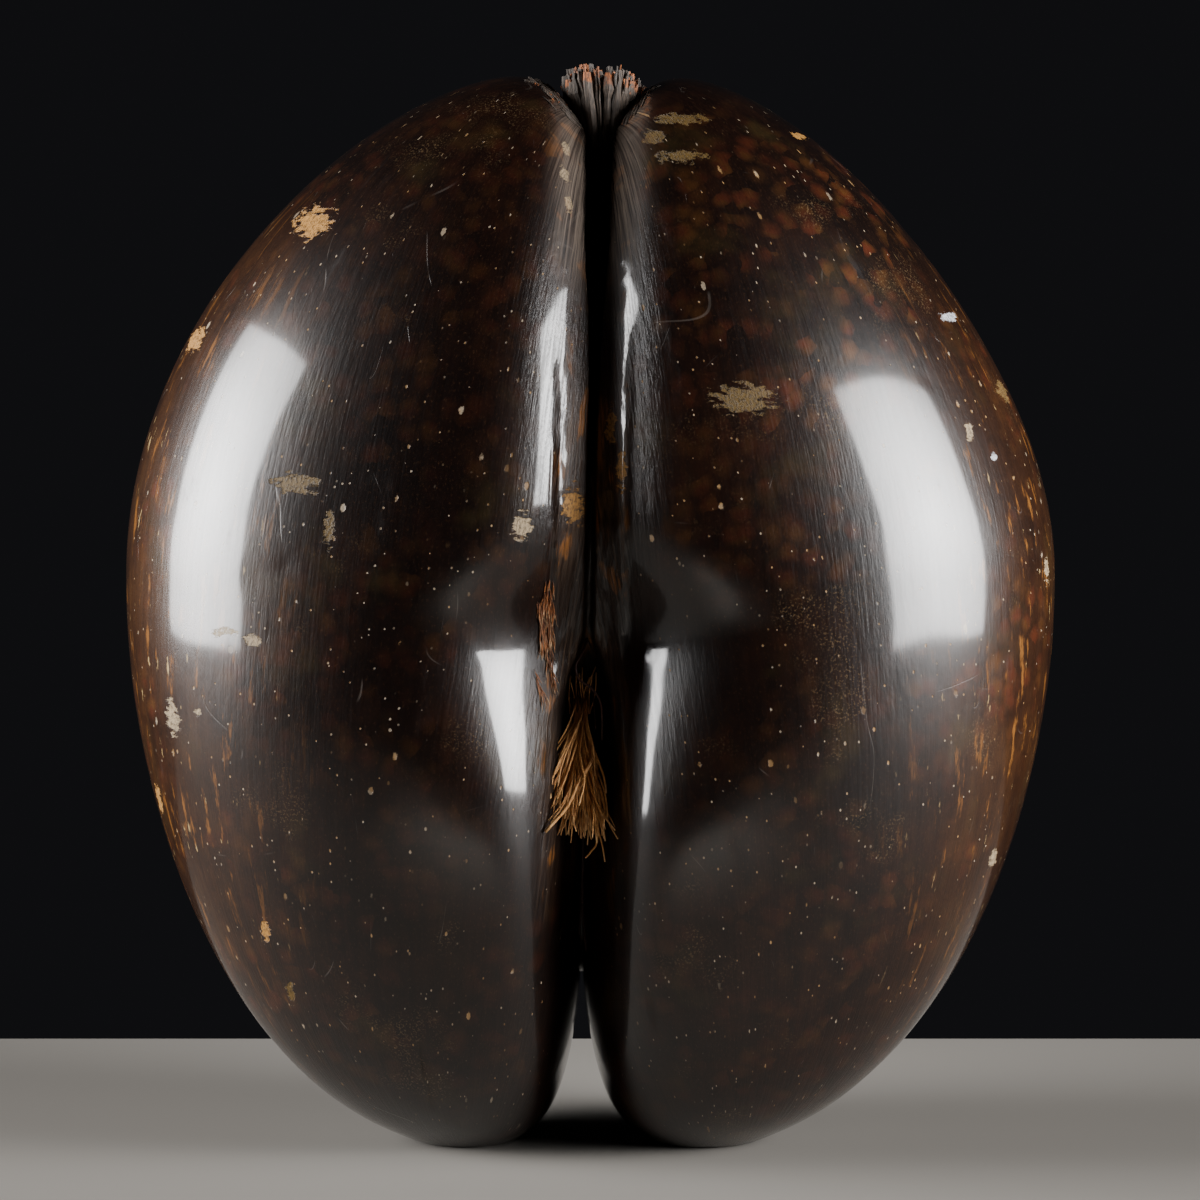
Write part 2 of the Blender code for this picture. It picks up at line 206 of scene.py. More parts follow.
# Relief: slow waves all over, small dents, and long fibres where the wall isn't polished.
relief = 0.00030 * noise_at(form, 17) + 0.00010 * noise_at(form, 55, 3.0)
strands = np.array([noise.noise(Vector((x * 900, turn * 0.13, 0)))
                    for x, turn in zip(across, turns)])
strands += 0.5 * np.array([noise.noise(Vector((x * 2100, turn * 0.3, 7)))
                           for x, turn in zip(across, turns)])
relief += fibrous * (0.00022 * strands + 0.0003 * noise_at(form, 240, 9.0))
relief += torn * 0.0004 * noise_at(form, 150, 21.0)
# A crack runs along the left margin's outer edge.
crack = np.exp(-((from_seam - MARGIN_WIDTH - 0.0006) / 0.00035) ** 2) * (sides < 0)
relief -= 0.0007 * crack * fade(turns, 58, 64) * fade(turns, 94, 86)
draw = random.Random(5)
for _ in range(DENTS):
    centre = form[draw.randrange(len(form))]
    width, depth = draw.uniform(*DENT_WIDTH), draw.uniform(*DENT_DEPTH)
    near = ((form - centre) ** 2).sum(axis=1)
    relief -= depth * np.exp(-near / width ** 2)
relief -= SURFACE_INSET
finished = form + normals * relief[:, None]
worn = FOOT_WEAR * np.exp(-np.maximum(finished[:, 2], 0) / FOOT_BLEND)
finished[:, 2] = np.maximum(finished[:, 2] - worn, 0)
shell_low, shell_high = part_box("nut_shell")
slide = (shell_low + shell_high) / 2 - Vector((form.min(axis=0) + form.max(axis=0)) / 2)
slide.z = 0
finished += np.array(slide)
for vert, place in zip(shell_mesh.verts, finished):
    vert.co = place


def make_piece(name, made, smooth=True):
    """Turn a finished bmesh into a named object that rides on the nut."""
    mesh = bpy.data.meshes.new(name)
    made.to_mesh(mesh)
    made.free()
    if smooth:
        mesh.shade_smooth()
    piece = bpy.data.objects.new(name, mesh)
    bpy.context.scene.collection.objects.link(piece)
    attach(piece, "root")
    return piece


def mark(piece, name, values):
    """Store a number, or a vector, for each point of a piece, for its material to read."""
    kind = "FLOAT_VECTOR" if values.ndim == 2 else "FLOAT"
    layer = piece.data.attributes.new(name, kind, "POINT")
    layer.data.foreach_set("vector" if values.ndim == 2 else "value", values.ravel().astype("f"))


shell_mesh.normal_update()
surface = BVHTree.FromBMesh(shell_mesh)
shell = make_piece("polished_shell", shell_mesh)
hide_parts("nut_shell")
mark(shell, "fibrous", fibrous)
mark(shell, "deep", in_cut)
mark(shell, "lip", lip)
mark(shell, "streaked", streaked)
# The grain runs up each lobe like the lines on a peeled orange, from its foot to the stalk end.
lobe_x = sides * 0.036 * (1 - np.clip(form[:, 2] / 0.31, 0, 1))
swing = np.arctan2(form[:, 1], sides * (form[:, 0] - lobe_x))
mark(shell, "grain", np.stack([swing * 0.085, form[:, 2], sides * 0.5], axis=1))
# Reddish blotches are strongest on the right shoulder and towards both sides; the sides are also painted
# # a lighter amber, painted light where the side lamps fall.
shoulder = np.exp(-((form[:, 0] - 0.078) / 0.045) ** 2 - ((form[:, 2] - 0.240) / 0.055) ** 2)
flank = fade(np.abs(form[:, 0]), 0.070, 0.128)
mark(shell, "flank", flank)
mark(shell, "blotchy", np.clip(0.22 + shoulder * (form[:, 1] < 0) + 0.6 * flank, 0, 1))


class Value:
    """A number flowing through a material; arithmetic on it adds the Math nodes it needs."""

    def __init__(self, finish, socket):
        self.finish, self.socket = finish, socket

    def maths(self, operation, *others):
        values = dict(enumerate((self, *others)))
        return self.finish.node("ShaderNodeMath", {"operation": operation}, values)

    def __add__(self, other):
        return self.maths("ADD", other)

    def __sub__(self, other):
        return self.maths("SUBTRACT", other)

    def __mul__(self, other):
        return self.maths("MULTIPLY", other)

    def __rsub__(self, other):
        return self.finish.node("ShaderNodeMath", {"operation": "SUBTRACT"}, {0: other, 1: self})

    __radd__, __rmul__ = __add__, __mul__

    def between(self, low, high):
        """0 below low, 1 above high, and smooth between them."""
        return self.finish.node("ShaderNodeMapRange", {"interpolation_type": "SMOOTHSTEP"},
                                {"Value": self, "From Min": low, "From Max": high})


class Finish:
    """A material being made up from nodes, round one Principled shader."""

    def __init__(self, name):
        self.material = bpy.data.materials.new(name)
        self.material.use_nodes = True
        self.tree = self.material.node_tree
        self.shader = self.tree.nodes["Principled BSDF"]

    def node(self, kind, settings=None, inputs=None, out=0):
        """Add a node, set it up, feed its sockets, and return one of its outputs."""
        made = self.tree.nodes.new(kind)
        for name, value in (settings or {}).items():
            if name == "stops":
                ramp = made.color_ramp.elements
                while len(ramp) < len(value):
                    ramp.new(0.5)
                for stop, (place, colour) in zip(ramp, value):
                    stop.position, stop.color = place, (*colour, 1)
            else:
                setattr(made, name, value)
        for name, value in (inputs or {}).items():
            self.feed(made, name, value)
        outputs = [socket for socket in made.outputs if socket.enabled]
        picked = outputs[out] if isinstance(out, int) else made.outputs[out]
        return Value(self, picked)

    def feed(self, made, name, value):
        """Link a value to a socket, or set the socket to a number, vector or colour."""
        if isinstance(name, int):
            socket = made.inputs[name]
        else:
            socket = [item for item in made.inputs if item.name == name and item.enabled][0]
        if isinstance(value, Value):
            self.tree.links.new(value.socket, socket)
        elif isinstance(value, tuple) and socket.type == "RGBA":
            socket.default_value = (*value, 1)
        else:
            socket.default_value = value

    def mix(self, factor, first, second):
        """A colour part of the way from the first to the second."""
        return self.node("ShaderNodeMix", {"data_type": "RGBA"},
                         {"Factor": factor, "A": first, "B": second})

    def place(self):
        """Where a point is on the object."""
        return self.node("ShaderNodeTexCoord", out="Object")

    def marked(self, name, vector=False):
        """What was stored for each point of the piece."""
        return self.node("ShaderNodeAttribute", {"attribute_name": name},
                         out="Vector" if vector else "Fac")

    def stretched(self, vector, scale):
        """A vector scaled by a different amount each way."""
        return self.node("ShaderNodeVectorMath", {"operation": "MULTIPLY"}, {0: vector, 1: scale})

    def grainy(self, vector, scale, detail=3.0, rough=0.55):
        """Smooth noise between 0 and 1."""
        return self.node("ShaderNodeTexNoise", None, {
            "Vector": vector, "Scale": scale, "Detail": detail, "Roughness": rough})

    def bump(self, height, distance, strength=1.0, under=None):
        """Relief from a height, on top of another relief."""
        inputs = {"Height": height, "Distance": distance, "Strength": strength}
        if under is not None:
            inputs["Normal"] = under
        return self.node("ShaderNodeBump", None, inputs)

    def give(self, piece, **sockets):
        """Feed the shader and put the material on a piece."""
        for name, value in sockets.items():
            self.feed(self.shader, name.replace("_", " "), value)
        piece.data.materials.clear()
        piece.data.materials.append(self.material)


lacquer = Finish("polished_shell")
place = lacquer.place()
grain = lacquer.marked("grain", vector=True)
fibres = lacquer.marked("fibrous")
deep = lacquer.marked("deep")
lips = lacquer.marked("lip")
blotchy = lacquer.marked("blotchy")
flanks = lacquer.marked("flank")
streaked = lacquer.marked("streaked")

# Ground colour: black-brown with slow drifts of chestnut, painted a lighter amber towards the sides as
# painted light from the side lamps.
drift = lacquer.grainy(place, 16, 4, 0.6)
patchy = lacquer.grainy(place, 75, 3, 0.6)
streak = lacquer.grainy(lacquer.stretched(grain, (330.0, 26.0, 40.0)), 1.0, 4, 0.6)
depth = 0.50 * drift + 0.25 * patchy + 0.25 * streak
ground = lacquer.node("ShaderNodeValToRGB", {"stops": (
    (0.34, (0.0020, 0.0010, 0.0008)), (0.47, (0.0046, 0.0019, 0.0013)),
    (0.58, (0.0095, 0.0034, 0.0019)), (0.72, (0.0210, 0.0076, 0.0034)))}, {"Fac": depth})
side_lit_amber = lacquer.node("ShaderNodeValToRGB", {"stops": (
    (0.36, (0.0110, 0.0042, 0.0020)), (0.50, (0.0300, 0.0110, 0.0042)),
    (0.66, (0.0640, 0.0260, 0.0080)))}, {"Fac": depth})
# Painted light: the sides, where the side lamps fall, are painted a lighter amber.
ground = lacquer.mix(0.75 * flanks, ground, side_lit_amber)
olive = lacquer.grainy(place, 34, 3, 0.6).between(0.56, 0.76)
ground = lacquer.mix(0.35 * olive, ground, (0.040, 0.027, 0.008))

# Rust-red and amber blotches with blurred edges, a few millimetres across.
swirl = lacquer.node("ShaderNodeTexNoise", None, {"Vector": place, "Scale": 210.0}, out="Color")
net = lacquer.node("ShaderNodeVectorMath", {"operation": "ADD"}, {0: place, 1: lacquer.node(
    "ShaderNodeVectorMath", {"operation": "SCALE"}, {0: swirl, "Scale": 0.0034})})
spot = lacquer.node("ShaderNodeTexVoronoi", {"feature": "F1"}, {"Vector": net, "Scale": 172.0})
shade = lacquer.node("ShaderNodeTexVoronoi", {"feature": "F1"}, {"Vector": net, "Scale": 172.0},
                     out="Color")
shade = lacquer.node("ShaderNodeSeparateColor", None, {"Color": shade})
tone = lacquer.grainy(place, 120, 2)
zones = lacquer.grainy(place, 24, 3, 0.6).between(0.38, 0.60)
blotch = spot.between(0.80, 0.12) * shade.between(0.18, 0.65) * zones * blotchy
rust = lacquer.mix(tone.between(0.42, 0.60), (0.100, 0.022, 0.008), (0.110, 0.042, 0.010))
ground = lacquer.mix(0.58 * blotch, ground, rust)
# Fine grain, lighter and darker, like the pores of the wall under the polish.
pores = lacquer.grainy(lacquer.stretched(grain, (1.0, 0.55, 1.0)), 1500, 3, 0.75)
ground = lacquer.mix(0.55 * pores.between(0.46, 0.30), ground, (0.0028, 0.0015, 0.0012))
ground = lacquer.mix(0.30 * pores.between(0.55, 0.72), ground, (0.0700, 0.0320, 0.0140))

# Cream specks in three sizes, drawn out along the grain, and dusty stippled areas.
pale = None
for stretch, scale, reach, sparse in ((0.62, 150.0, 0.125, 0.70), (0.60, 255.0, 0.110, 0.66),
                                      (0.75, 520.0, 0.160, 0.66)):
    grid = lacquer.stretched(grain, (1.0, stretch, 1.0))
    dot = lacquer.node("ShaderNodeTexVoronoi", {"feature": "F1"}, {"Vector": grid, "Scale": scale})
    pick = lacquer.node("ShaderNodeSeparateColor", None, {"Color": lacquer.node(
        "ShaderNodeTexVoronoi", {"feature": "F1"}, {"Vector": grid, "Scale": scale}, out="Color")})
    rough_dot = dot + 0.10 * lacquer.grainy(place, 1400, 1)
    specks = rough_dot.between(reach + 0.05, reach) * pick.between(sparse, 1.0)
    pale = specks if pale is None else pale.maths("MAXIMUM", specks)
dust = lacquer.grainy(place, 1700, 2).between(0.55, 0.66)
dust = dust * lacquer.grainy(place, 31, 3, 0.6).between(0.56, 0.70)
colour = lacquer.mix(0.40 * dust, ground, (0.150, 0.095, 0.045))
colour = lacquer.mix(0.62 * pale, colour, lacquer.mix(patchy.between(0.45, 0.55), (0.46, 0.36, 0.25),
                                                      (0.40, 0.23, 0.09)))

# Amber and straw streaks down both sides, where the wall's fibres show at the surface.
long_streak = lacquer.grainy(lacquer.stretched(grain, (300.0, 46.0, 40.0)), 1.0, 5, 0.68)
straw = lacquer.grainy(lacquer.stretched(grain, (420.0, 80.0, 40.0)), 1.0, 4, 0.65)
colour = lacquer.mix(0.75 * flanks * long_streak.between(0.57, 0.66), colour, (0.230, 0.090, 0.018))
colour = lacquer.mix(0.85 * flanks * straw.between(0.655, 0.70), colour, (0.420, 0.290, 0.130))

# Flakes where the polish has chipped, at the places the nut has them: ochre, olive and cream on the
# front,
# # amber on the back; the two silvery marks on the front are painted highlights. Each group has its
# side,
# # -1 for the front, its colour and how strong it is. Each flake is across, height, half width and half
# height.
CHIPS = (
    (-1, (0.430, 0.210, 0.050), 0.85, (
        (-0.0782, 0.2670, 0.0060, 0.0046), (-0.1129, 0.2340, 0.0046, 0.0036),
        (-0.0045, 0.1880, 0.0034, 0.0050), (-0.1240, 0.1020, 0.0018, 0.0052),
        (-0.0913, 0.0680, 0.0014, 0.0040), (0.0057, 0.2100, 0.0014, 0.0060),
        (0.0086, 0.1980, 0.0015, 0.0052), (0.0596, 0.2920, 0.0030, 0.0012))),
    (-1, (0.160, 0.098, 0.026), 0.60, (
        (-0.0812, 0.1945, 0.0066, 0.0026), (0.0421, 0.2180, 0.0085, 0.0040),
        (0.0260, 0.2960, 0.0075, 0.0016), (0.0180, 0.2910, 0.0030, 0.0024),
        (0.0255, 0.2850, 0.0062, 0.0018), (-0.0715, 0.1820, 0.0016, 0.0044),
        (0.1182, 0.2190, 0.0028, 0.0036), (-0.0846, 0.0500, 0.0012, 0.0040))),
    (-1, (0.400, 0.300, 0.180), 0.75, (
        (-0.1021, 0.1530, 0.0034, 0.0016), (-0.0935, 0.1510, 0.0032, 0.0014),
        (-0.1180, 0.1270, 0.0024, 0.0050), (-0.1100, 0.1295, 0.0012, 0.0012),
        (0.1150, 0.0860, 0.0018, 0.0030), (-0.0185, 0.1830, 0.0026, 0.0036),
        (0.1308, 0.1680, 0.0014, 0.0036), (-0.0066, 0.2880, 0.0012, 0.0028),
        (-0.0070, 0.2800, 0.0014, 0.0030), (-0.0060, 0.2720, 0.0011, 0.0024),
        (0.1065, 0.2080, 0.0013, 0.0030))),
    # Painted highlights: two silvery patches on the right lobe's front, bits of the right highlight's
    # shine.
    (-1, (0.500, 0.500, 0.520), 0.85, (
        (0.1020, 0.2405, 0.0034, 0.0015), (0.1140, 0.2010, 0.0011, 0.0010))),
    (1, (0.400, 0.200, 0.055), 0.80, (
        (-0.0700, 0.2300, 0.0050, 0.0038), (0.0520, 0.2550, 0.0060, 0.0030),
        (0.0880, 0.1250, 0.0020, 0.0060), (-0.0400, 0.1000, 0.0028, 0.0040),
        (0.0250, 0.1700, 0.0040, 0.0016), (-0.1050, 0.1500, 0.0016, 0.0050))),
)
ragged = lacquer.grainy(lacquer.stretched(grain, (0.7, 1.5, 1.0)), 360, 4, 0.7)
stipple = pores.between(0.36, 0.56)
chips = None
for face, tint, strength, group in CHIPS:
    these = None
    for x, z, half_width, half_height in group:
        centre = surface.ray_cast(Vector((x, face, z)), Vector((0, -face, 0)))[0]
        gap = lacquer.node("ShaderNodeVectorMath", {"operation": "SUBTRACT"},
                           {0: place, 1: tuple(centre)})
        gap = lacquer.stretched(gap, (1 / half_width, 1 / (2 * half_width), 1 / half_height))
        gap = lacquer.node("ShaderNodeVectorMath", {"operation": "LENGTH"}, {0: gap}, out="Value")
        one = (gap + 3.6 * ragged).between(2.86, 2.56)
        these = one if these is None else these.maths("MAXIMUM", one)
    these = these * (0.35 + 0.65 * stipple)
    colour = lacquer.mix(strength * these, colour, tint)
    chips = these if chips is None else chips.maths("MAXIMUM", these)

# Fine pale scratches, curved and broken: each follows a level line of a slow noise.
scratches = None
for turned, scale in (((1.0, 1.0, 0.5), 26.0), ((2.4, 1.6, 0.4), 34.0), ((0.6, 1.0, 1.3), 17.0)):
    level = lacquer.grainy(lacquer.stretched(place, turned), scale, 1, 0.4)
    line = (level - 0.5).maths("ABSOLUTE").between(0.0024, 0.0008)
    line = line * lacquer.grainy(lacquer.stretched(place, turned), 2.6 * scale, 2).between(0.62, 0.70)
    scratches = line if scratches is None else scratches.maths("MAXIMUM", line)
colour = lacquer.mix(0.14 * scratches, colour, (0.260, 0.220, 0.190))

# Bare fibre beside the seam and round the stump is drier and greyer, with amber patches.
long_fibre = lacquer.grainy(lacquer.stretched(grain, (1100.0, 36.0, 60.0)), 1.0, 4, 0.65)
dry = lacquer.node("ShaderNodeValToRGB", {"stops": (
    (0.32, (0.0060, 0.0032, 0.0024)), (0.50, (0.0260, 0.0140, 0.0090)),
    (0.66, (0.0850, 0.0520, 0.0320)))}, {"Fac": long_fibre})
amber = lacquer.grainy(lacquer.stretched(place, (1.0, 1.0, 0.45)), 120, 3).between(0.55, 0.63)
dry = lacquer.mix(0.8 * amber * long_fibre.between(0.38, 0.58), dry, (0.330, 0.120, 0.020))
dry = lacquer.mix(lips * long_fibre.between(0.35, 0.65) * 0.8, dry, (0.240, 0.190, 0.150))
colour = lacquer.mix(0.85 * fibres * (1 - 0.6 * chips), colour, dry)
# Painted shade: the walls of the slot and germ hollow are painted near black where shade falls in them;
# along the closed seam this is the dark line of the joint.
colour = lacquer.mix(0.85 * deep, colour, (0.0040, 0.0024, 0.0018))

# Polish: a hazy gloss under a clear one, broken by fine lines along the grain, scuffs and chips.
hairline = lacquer.grainy(lacquer.stretched(grain, (1500.0, 34.0, 60.0)), 1.0, 4, 0.65)
ripple = lacquer.grainy(lacquer.stretched(grain, (520.0, 120.0, 60.0)), 1.0, 3, 0.6)
scuff = lacquer.grainy(lacquer.stretched(grain, (80.0, 24.0, 40.0)), 1.0, 5, 0.7).between(0.58, 0.76)
broken = pale.maths("MAXIMUM", chips)
gloss = 0.26 + 0.12 * hairline + 0.14 * scuff + 0.22 * broken
gloss = gloss + fibres * (0.02 + 0.12 * long_fibre) + 0.35 * deep + 0.3 * lips
relief = lacquer.bump(hairline, 0.000055)
relief = lacquer.bump(ripple, 0.00009, under=relief)
relief = lacquer.bump(streaked * (hairline + 0.5 * pores), 0.00022, under=relief)
relief = lacquer.bump(streaked * ripple, 0.00050, under=relief)
relief = lacquer.bump(1 - broken, 0.00012, under=relief)
relief = lacquer.bump(1 - scratches, 0.00004, under=relief)
relief = lacquer.bump(fibres * long_fibre, 0.00030, under=relief)
worn_off = (0.65 * hairline + 0.35 * pores).between(0.45, 0.56)
coat = (1 - 0.9 * chips) * (1 - 0.9 * deep) * (0.92 - 0.45 * scuff - 0.06 * worn_off)
coat = coat * (1 - 0.20 * fibres) * (1 - 0.85 * streaked * worn_off)
lacquer.give(shell, Base_Color=colour, Roughness=gloss, Normal=relief, Specular_IOR_Level=0.22,
             Coat_Weight=coat, Coat_Roughness=0.085, Coat_IOR=1.5)

# The husk stump is what is left of the nut's thick husk at its stalk end: weathered grey-brown
# fibre bundles, split in two along the seam, fanned out and broken off with raw orange ends.
STUMP_SPLIT = 0.0036
STUMP_REACH = {-1: 0.0106, 1: 0.0114}
STUMP_HALF_DEPTH, STUMP_Y = 0.0190, -0.0045
STUMP_FOOT_Z, STUMP_TOP_Z = 0.2820, 0.3127


def new_fibres():
    """An empty mesh for fibres, which keeps each point's share of its length and its fibre's tone."""
    made = bmesh.new()
    made.verts.layers.float.new("along")
    made.verts.layers.float.new("tone")
    return made


def strand(made, path, radii, tone, sides=5):
    """Draw a closed tube along a path, with a radius for each of the path's points."""
    steps, before = len(path) - 1, len(made.verts)
    ends = bmesh.ops.create_cone(made, cap_ends=True, segments=sides, radius1=1, radius2=1, depth=2)
    runs = {edge for vert in ends["verts"] for edge in vert.link_edges
            if abs(edge.verts[0].co.z - edge.verts[1].co.z) > 1}
    bmesh.ops.subdivide_edges(made, edges=list(runs), cuts=steps - 1, use_grid_fill=True)
    way = [(path[min(step + 1, steps)] - path[max(step - 1, 0)]).normalized()
           for step in range(steps + 1)]
    frames = [Vector((0, 0, 1)).rotation_difference(way[0])]
    for last, now in zip(way, way[1:]):
        frames.append(last.rotation_difference(now) @ frames[-1])
    along, tones = made.verts.layers.float["along"], made.verts.layers.float["tone"]
    for vert in list(made.verts)[before:]:
        step = round((vert.co.z + 1) / 2 * steps)
        vert[along], vert[tones] = step / steps, tone
        vert.co = path[step] + frames[step] @ (Vector((vert.co.x, vert.co.y, 0)) * radii[step])


def eased(points, count):
    """A path of so many points through a few given ones, rounded by a Catmull-Rom curve."""
    ends = [2 * points[0] - points[1], *points, 2 * points[-1] - points[-2]]
    path = []
    for step in range(count):
        run = step / (count - 1) * (len(points) - 1)
        first = min(int(run), len(points) - 2)
        part = run - first
        p0, p1, p2, p3 = ends[first:first + 4]
        path.append(0.5 * (2 * p1 + (p2 - p0) * part + (2 * p0 - 5 * p1 + 4 * p2 - p3) * part ** 2
                           + (3 * p1 - p0 - 3 * p2 + p3) * part ** 3))
    return path


def lie(point, lift):
    """The nearest place on the shell to a point, lifted off it a little."""
    place, normal, _, _ = surface.find_nearest(point)
    return place + normal * lift


def front(x, z, lift):
    """The place on the shell's front at a width and height, lifted off it a little."""
    place, normal, _, _ = surface.ray_cast(Vector((x, -1, z)), Vector((0, 1, 0)))
    if place is None:
        return lie(Vector((x, -0.02, z)), lift)
    return place + normal * lift


draw = random.Random(7)
stump = new_fibres()
# Thick bundles fill the notch, thinner ones cover them, and the thinnest stand out at the top:
# how many, radius from and to, sides, and the share of the way out at which they begin.
STUMP_LAYERS = ((150, 0.0011, 0.0019, 8, 0.0), (190, 0.00035, 0.0008, 6, 0.55),
                (80, 0.00014, 0.00028, 5, 0.70))
for count, low, high, facets, edge in STUMP_LAYERS:
    for index in range(count):
        side = 1 if index % 2 else -1
        turn = index * math.pi * (3 - math.sqrt(5)) + low * 1000
        spread = edge + (1 - edge) * math.sqrt((index + 0.5) / count)
        outward = spread * abs(math.cos(turn)) ** 0.85
        deep_in = spread * math.copysign(abs(math.sin(turn)) ** 0.6, math.sin(turn))
        y = STUMP_Y + STUMP_HALF_DEPTH * deep_in
        reach = STUMP_REACH[side] * outward
        foot = Vector((STUMP_SPLIT + side * (0.0002 + 0.35 * reach), y + 0.0010, STUMP_FOOT_Z))
        waist = Vector((STUMP_SPLIT + side * (0.0005 + 0.80 * reach), y, STUMP_FOOT_Z + 0.0165))
        top = STUMP_TOP_Z - 0.0042 * (side * outward > 0) * outward ** 2 - 0.0020 * outward ** 2
        top += draw.uniform(-0.0042, 0.0004) if edge else draw.uniform(-0.0050, -0.0010)
        tip = Vector((STUMP_SPLIT + side * (0.0009 + reach), y, top))
        tip += Vector((draw.gauss(0, 1), draw.gauss(0, 1), 0)) * (0.0003 if low > 0.0003 else 0.0009)
        thick = draw.uniform(low, high)
        path = eased([foot, waist, tip], 10)
        for step, point in enumerate(path):
            shift = 0.00045 * noise.noise(Vector((index * 3.1, step * 0.8, low * 9000)))
            point += Vector((shift, 0.6 * shift, 0))
        radii = [thick * (1 + 0.45 * noise.noise(Vector((index * 5.3, step * 1.1, 4))))
                 for step in range(10)]
        radii[-1] *= 0.72
        strand(stump, path, radii, draw.random(), facets)
# Shreds of husk still cling to the lips of both lobes beside the stump: how many, and the upper
# and lower ends of the line that they follow.
for count, high_end, low_end in ((46, (-0.0165, 0.3098), (-0.0040, 0.2965)),
                                 (30, (0.0160, 0.3085), (0.0108, 0.2960))):
    for index in range(count):
        share = draw.random()
        x = high_end[0] + (low_end[0] - high_end[0]) * share + draw.gauss(0, 0.0009)
        z = high_end[1] + (low_end[1] - high_end[1]) * share + draw.gauss(0, 0.0006)
        run = Vector((low_end[0] - high_end[0], low_end[1] - high_end[1])).normalized()
        length = draw.uniform(0.003, 0.008)
        path = []
        for step in range(7):
            along = (step / 6 - 0.5) * length
            path.append(front(x + run.x * along, z + run.y * along, draw.uniform(0.0, 0.0002)))
        thick = draw.uniform(0.00016, 0.00040)
        strand(stump, path, [thick * part for part in (0.4, 0.9, 1, 1, 1, 0.8, 0.4)], draw.random(), 5)
husk_stump = make_piece("broken_husk", stump, smooth=False)
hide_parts("husk_stump")


def fibre_finish(piece, root, shaft, tip, dark, rough, tip_from=0.9, tip_noise=0.3, tipped=1.2):
    """A dry fibre's material, each fibre a shade: a root, a shaft, and a tip on those it gives one."""
    dry = Finish(piece.name)
    along, tone, place = dry.marked("along"), dry.marked("tone"), dry.place()
    streaks = dry.grainy(dry.stretched(place, (1.0, 1.0, 0.12)), 2600, 3, 0.6)
    mottle = dry.grainy(place, 420, 3, 0.6)
    colour = dry.mix(along.between(0.0, 0.5), root, shaft)
    ends = (along + tip_noise * (mottle - 0.5)).between(tip_from - 0.06, tip_from + 0.06)
    ends = ends * tone.between(tipped, tipped - 0.1)
    colour = dry.mix(ends, colour, tip)
    colour = dry.mix(0.75 * streaks.between(0.62, 0.38), colour, dark)
    colour = dry.mix(0.55 * tone, colour, dark)
    relief = dry.bump(streaks + 0.6 * mottle, 0.00012)
    dry.give(piece, Base_Color=colour, Roughness=rough + 0.2 * mottle, Normal=relief)


fibre_finish(husk_stump, (0.050, 0.034, 0.024), (0.112, 0.080, 0.058), (0.42, 0.120, 0.024),
             (0.012, 0.008, 0.006), 0.62, 0.88, 0.6, 0.36)

# The tuft is a brush of stiff golden fibres, the frayed end of the cord that fed the nut; it hangs
# out of the germ hollow, and its fibres part, cross and kink.
TUFT_ROOT = Vector((-0.0028, -0.0550, 0.1300))
TUFT_CLUMPS, TUFT_FIBRES, UPWARD_FIBRES = 13, 104, 12
SHORT_EVERY, FORK_EVERY = 7, 3
draw = random.Random(23)
tuft = new_fibres()
clumps = []
for index in range(TUFT_CLUMPS):
    share = (index + 0.5) / TUFT_CLUMPS
    across = -0.0150 + 0.0198 * share + draw.uniform(-0.0006, 0.0006)
    fall = 0.0960 + 0.0105 * max(0.0, 0.42 - share) / 0.42 + draw.uniform(-0.0018, 0.0030)
    clumps.append(Vector((across, -0.0668 + draw.uniform(-0.0030, 0.0034), fall)))
for index in range(TUFT_FIBRES):
    clump = clumps[index % len(clumps)]
    root = TUFT_ROOT + Vector((draw.uniform(-0.0020, 0.0022), draw.uniform(-0.0016, 0.0016),
                               draw.uniform(-0.0040, 0.0050)))
    tip = clump + Vector((draw.gauss(0, 0.0013), draw.gauss(0, 0.0012), draw.uniform(-0.0015, 0.0045)))
    if index % SHORT_EVERY == 0:
        tip.z += draw.uniform(0.005, 0.014)
    neck = root.lerp(tip, 0.30) + Vector((draw.gauss(0, 0.0006), -0.0016 + draw.gauss(0, 0.0007), 0))
    neck.x += 0.30 * (TUFT_ROOT.x - neck.x)
    belly = root.lerp(tip, 0.66) + Vector((draw.gauss(0, 0.0008), -0.0018 + draw.gauss(0, 0.0010), 0))
    path = eased([root, neck, belly, tip], 12)
    kink = Vector((draw.gauss(0, 0.0009), draw.gauss(0, 0.0006), draw.gauss(0, 0.0003)))
    path[-2] += 0.4 * kink
    path[-1] += kink
    thick = draw.uniform(0.00020, 0.00038)
    radii = [thick * (1.10 - 0.25 * step / 11) for step in range(12)]
    radii[-1] *= 0.7
    strand(tuft, path, radii, draw.random() ** 1.6)
    if index % FORK_EVERY == 0:
        fork = path[7:]
        swerve = Vector((draw.gauss(0, 0.0016), draw.gauss(0, 0.0012), draw.uniform(0, 0.002)))
        fork = [point + swerve * (step / 4) ** 1.3 for step, point in enumerate(fork)]
        strand(tuft, fork, [0.7 * radius for radius in radii[7:]], draw.random() ** 1.6)
for index in range(UPWARD_FIBRES):
    root = TUFT_ROOT + Vector((draw.uniform(-0.0030, 0.0030), draw.uniform(-0.0010, 0.0016), -0.001))
    tip = root + Vector((draw.gauss(0, 0.0012), draw.gauss(-0.0005, 0.0010), draw.uniform(0.008, 0.016)))
    path = eased([root, root.lerp(tip, 0.5) + Vector((draw.gauss(0, 0.0006), 0, 0)), tip], 8)
    strand(tuft, path, [0.00018] * 8, draw.uniform(0.4, 1.0))
